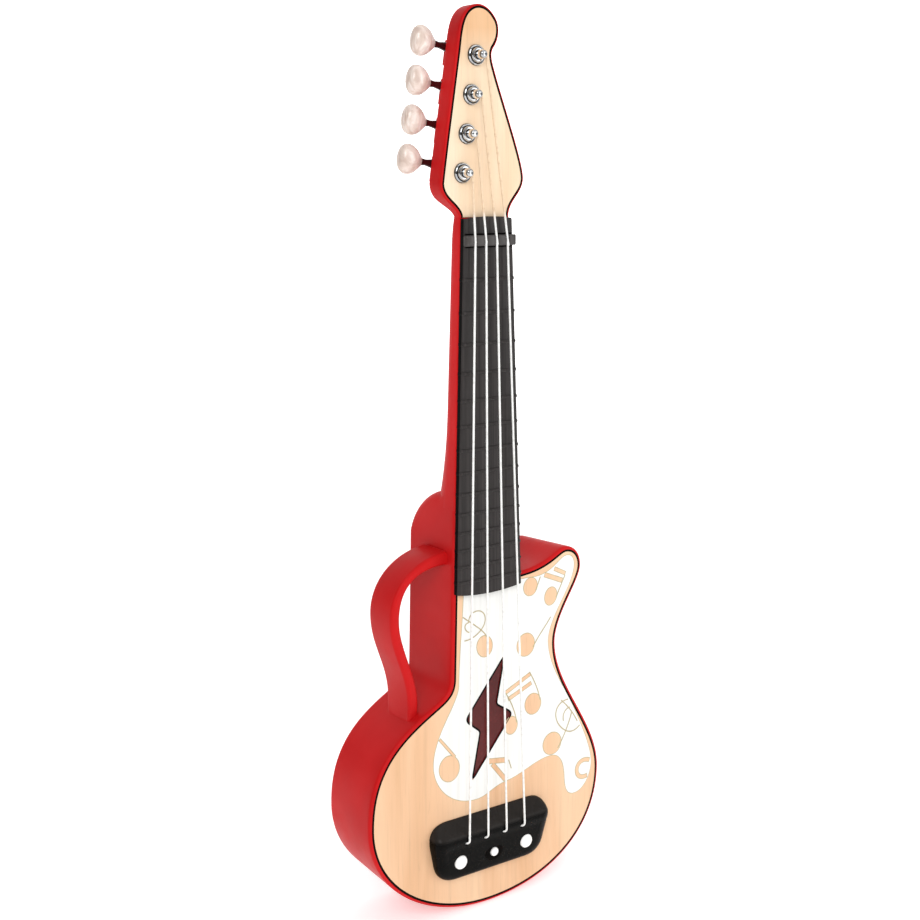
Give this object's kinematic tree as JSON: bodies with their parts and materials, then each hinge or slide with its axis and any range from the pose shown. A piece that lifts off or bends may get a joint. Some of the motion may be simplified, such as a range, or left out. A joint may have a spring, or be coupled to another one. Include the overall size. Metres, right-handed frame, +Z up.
{
  "type": "toy electric guitar",
  "caption": "Small toy electric guitar in the ukulele format: wooden face in a red plastic shell with a side carry handle, strings, tuning pegs, bridge buttons and a bolt-shaped light.",
  "frame": {"origin": "hanging point: middle of the neck just under the headstock shoulders, in the plane of the wooden face", "axes": "+Z up along the neck towards the headstock, -Y out of the wooden face towards the player's hand, +X towards the cutaway horn"},
  "size_m": [0.1702, 0.0584, 0.5252],
  "materials": {
    "red_plastic": "glossy moulded",
    "wood": "clear-coated plywood",
    "fretboard_plastic": "fine-grained",
    "black_plastic": "glossy",
    "white_plastic": "glossy",
    "nylon": "smooth",
    "pearl_plastic": "pearlescent",
    "dark_red_plastic": "glossy",
    "smoked_red_lens": "translucent, glossy",
    "chrome": "polished",
    "steel": "zinc-plated",
    "circuit_board": "solder-masked",
    "paper_cone": "matt",
    "cell_wrap": "shrink-wrapped"
  },
  "bodies": {
    "guitar": {"body_shell": "red_plastic", "neck_shell": "red_plastic", "carry_handle": "red_plastic", "tuner_housing_1": "red_plastic", "tuner_housing_2": "red_plastic", "tuner_housing_3": "red_plastic", "tuner_housing_4": "red_plastic", "body_face": "wood", "headstock_face": "wood", "fretboard": "fretboard_plastic", "nut": "black_plastic", "bridge_housing": "black_plastic", "battery_box": "black_plastic", "light_shroud": "white_plastic", "string_1": "nylon", "string_2": "nylon", "string_3": "nylon", "string_4": "nylon", "bolt_lens": "smoked_red_lens", "tuner_bushing_1": "chrome", "tuner_bushing_2": "chrome", "tuner_bushing_3": "chrome", "tuner_bushing_4": "chrome", "shell_screw_1": "steel", "shell_screw_2": "steel", "shell_screw_3": "steel", "shell_screw_4": "steel", "shell_screw_5": "steel", "shell_screw_6": "steel", "upper_contact": "steel", "lower_contact": "steel", "speaker_frame": "steel", "speaker_magnet": "steel", "button_board": "circuit_board", "light_board": "circuit_board", "main_board": "circuit_board", "speaker_cone": "paper_cone", "battery_1": "cell_wrap", "battery_2": "cell_wrap", "battery_3": "cell_wrap"},
    "peg_1": {"peg_shaft_1": "dark_red_plastic", "peg_knob_1": "pearl_plastic"},
    "post_1": {"string_post_1": "chrome"},
    "peg_2": {"peg_shaft_2": "dark_red_plastic", "peg_knob_2": "pearl_plastic"},
    "post_2": {"string_post_2": "chrome"},
    "peg_3": {"peg_shaft_3": "dark_red_plastic", "peg_knob_3": "pearl_plastic"},
    "post_3": {"string_post_3": "chrome"},
    "peg_4": {"peg_shaft_4": "dark_red_plastic", "peg_knob_4": "pearl_plastic"},
    "post_4": {"string_post_4": "chrome"},
    "left_button": {"left_button": "white_plastic"},
    "right_button": {"right_button": "white_plastic"},
    "centre_button": {"centre_button": "white_plastic"},
    "battery_cover": {"battery_door": "red_plastic", "battery_door_screw": "steel"}
  },
  "joints": [
    {"name": "peg_turn_1", "type": "hinge", "parent": "guitar", "child": "peg_1", "pos_m": [-0.02421, 0.0155, 0.02782], "axis": [-0.9877, 0, 0.1564], "continuous": true},
    {"name": "post_turn_1", "type": "hinge", "parent": "guitar", "child": "post_1", "pos_m": [-0.0149, 0, 0.0227], "axis": [0, 1, 0], "continuous": true},
    {"name": "peg_turn_2", "type": "hinge", "parent": "guitar", "child": "peg_2", "pos_m": [-0.02101, 0.0155, 0.04872], "axis": [-0.9877, 0, 0.1564], "continuous": true},
    {"name": "post_turn_2", "type": "hinge", "parent": "guitar", "child": "post_2", "pos_m": [-0.0117, 0, 0.0436], "axis": [0, 1, 0], "continuous": true},
    {"name": "peg_turn_3", "type": "hinge", "parent": "guitar", "child": "peg_3", "pos_m": [-0.01781, 0.0155, 0.06962], "axis": [-0.9877, 0, 0.1564], "continuous": true},
    {"name": "post_turn_3", "type": "hinge", "parent": "guitar", "child": "post_3", "pos_m": [-0.0085, 0, 0.0645], "axis": [0, 1, 0], "continuous": true},
    {"name": "peg_turn_4", "type": "hinge", "parent": "guitar", "child": "peg_4", "pos_m": [-0.01461, 0.0155, 0.09052], "axis": [-0.9877, 0, 0.1564], "continuous": true},
    {"name": "post_turn_4", "type": "hinge", "parent": "guitar", "child": "post_4", "pos_m": [-0.0053, 0, 0.0854], "axis": [0, 1, 0], "continuous": true},
    {"name": "left_press", "type": "slide", "parent": "guitar", "child": "left_button", "axis": [0, 1, 0], "range_m": [0, 0.0012], "stiffness_N_per_m": 400, "springref_m": -0.0008},
    {"name": "right_press", "type": "slide", "parent": "guitar", "child": "right_button", "axis": [0, 1, 0], "range_m": [0, 0.0012], "stiffness_N_per_m": 400, "springref_m": -0.0008},
    {"name": "centre_press", "type": "slide", "parent": "guitar", "child": "centre_button", "axis": [0, 1, 0], "range_m": [0, 0.0012], "stiffness_N_per_m": 400, "springref_m": -0.0008},
    {"name": "cover_lift", "type": "slide", "parent": "guitar", "child": "battery_cover", "axis": [0, 1, 0], "range_m": [0, 0.03]}
  ],
  "couplings": [
    {"joint": "post_turn_1", "follows": "peg_turn_1", "ratio": 0.083333},
    {"joint": "post_turn_2", "follows": "peg_turn_2", "ratio": 0.083333},
    {"joint": "post_turn_3", "follows": "peg_turn_3", "ratio": 0.083333},
    {"joint": "post_turn_4", "follows": "peg_turn_4", "ratio": 0.083333}
  ]
}
